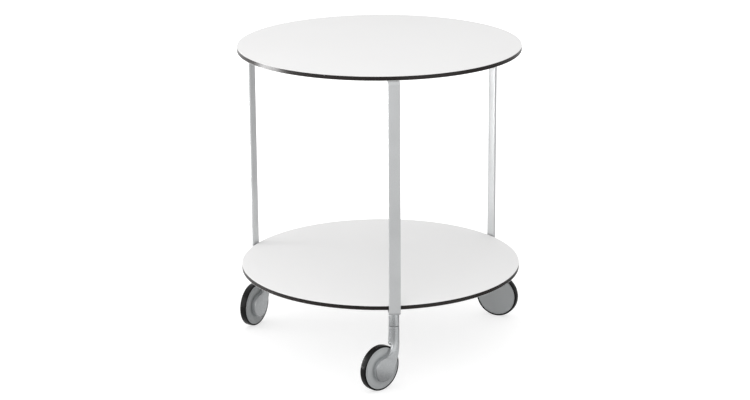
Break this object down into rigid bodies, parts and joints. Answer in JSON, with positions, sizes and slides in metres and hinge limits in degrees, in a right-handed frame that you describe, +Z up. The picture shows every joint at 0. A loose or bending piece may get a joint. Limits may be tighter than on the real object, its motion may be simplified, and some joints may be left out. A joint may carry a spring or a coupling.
{
  "type": "room service table",
  "caption": "Round side trolley with a top and a low shelf of white laminate on flat bent legs, each leg standing on a swivelling one-arm castor.",
  "frame": {"origin": "on the floor, under the common axis of the two round boards", "axes": "+Z up along the boards' axis; -Y towards the front leg; +X to the right seen from the front"},
  "size_m": [0.5208, 0.5313, 0.55],
  "materials": {
    "board_white": "white decor laminate, satin",
    "board_core": "dark brown compact laminate, seen at the rim",
    "leg_silver": "silver-grey satin coating over flat steel bar",
    "castor_silver": "silver-grey satin coating over cast metal",
    "screw_steel": "zinc-plated steel",
    "insert_brass": "turned brass",
    "pin_steel": "ground steel",
    "liner_nylon": "natural nylon",
    "washer_black": "black plastic",
    "wheel_grey": "grey moulded plastic, satin",
    "tyre_black": "black rubber"
  },
  "bodies": {
    "table": {"top_board_core": "board_core", "top_board_upper_face": "board_white", "top_board_lower_face": "board_white", "top_board_inserts": "insert_brass", "top_board_screws": "screw_steel", "lower_board_core": "board_core", "lower_board_upper_face": "board_white", "lower_board_lower_face": "board_white", "lower_board_inserts": "insert_brass", "lower_board_screws": "screw_steel", "lower_board_spacers": "leg_silver", "leg_front": "leg_silver", "castor_neck_front": "castor_silver", "stem_liner_front": "liner_nylon", "leg_right": "leg_silver", "castor_neck_right": "castor_silver", "stem_liner_right": "liner_nylon", "leg_left": "leg_silver", "castor_neck_left": "castor_silver", "stem_liner_left": "liner_nylon"},
    "front_castor": {"castor_arm_front": "castor_silver", "stem_pin_front": "pin_steel", "grip_ring_front": "pin_steel", "swivel_washer_front": "washer_black", "hub_cap_front": "castor_silver", "axle_front": "pin_steel", "axle_ring_front": "pin_steel"},
    "front_wheel": {"wheel_core_front": "wheel_grey", "wheel_bushing_front": "liner_nylon", "wheel_cover_front": "wheel_grey", "tyre_front": "tyre_black"},
    "right_castor": {"castor_arm_right": "castor_silver", "stem_pin_right": "pin_steel", "grip_ring_right": "pin_steel", "swivel_washer_right": "washer_black", "hub_cap_right": "castor_silver", "axle_right": "pin_steel", "axle_ring_right": "pin_steel"},
    "right_wheel": {"wheel_core_right": "wheel_grey", "wheel_bushing_right": "liner_nylon", "wheel_cover_right": "wheel_grey", "tyre_right": "tyre_black"},
    "left_castor": {"castor_arm_left": "castor_silver", "stem_pin_left": "pin_steel", "grip_ring_left": "pin_steel", "swivel_washer_left": "washer_black", "hub_cap_left": "castor_silver", "axle_left": "pin_steel", "axle_ring_left": "pin_steel"},
    "left_wheel": {"wheel_core_left": "wheel_grey", "wheel_bushing_left": "liner_nylon", "wheel_cover_left": "wheel_grey", "tyre_left": "tyre_black"}
  },
  "joints": [
    {"name": "front_swivel", "type": "hinge", "parent": "table", "child": "front_castor", "pos_m": [0, -0.238, 0.1106], "axis": [0, 0, 1], "continuous": true},
    {"name": "front_wheel_spin", "type": "hinge", "parent": "front_castor", "child": "front_wheel", "pos_m": [-0.02631, -0.25295, 0.04], "axis": [0.6046, -0.7965, 0], "continuous": true},
    {"name": "right_swivel", "type": "hinge", "parent": "table", "child": "right_castor", "pos_m": [0.20611, 0.119, 0.1106], "axis": [0, 0, 1], "continuous": true},
    {"name": "right_wheel_spin", "type": "hinge", "parent": "right_castor", "child": "right_wheel", "pos_m": [0.2297, 0.10004, 0.04], "axis": [0.518, 0.8554, 0], "continuous": true},
    {"name": "left_swivel", "type": "hinge", "parent": "table", "child": "left_castor", "pos_m": [-0.20611, 0.119, 0.1106], "axis": [0, 0, 1], "continuous": true},
    {"name": "left_wheel_spin", "type": "hinge", "parent": "left_castor", "child": "left_wheel", "pos_m": [-0.22679, 0.0969, 0.04], "axis": [0.8141, -0.5807, 0], "continuous": true}
  ]
}
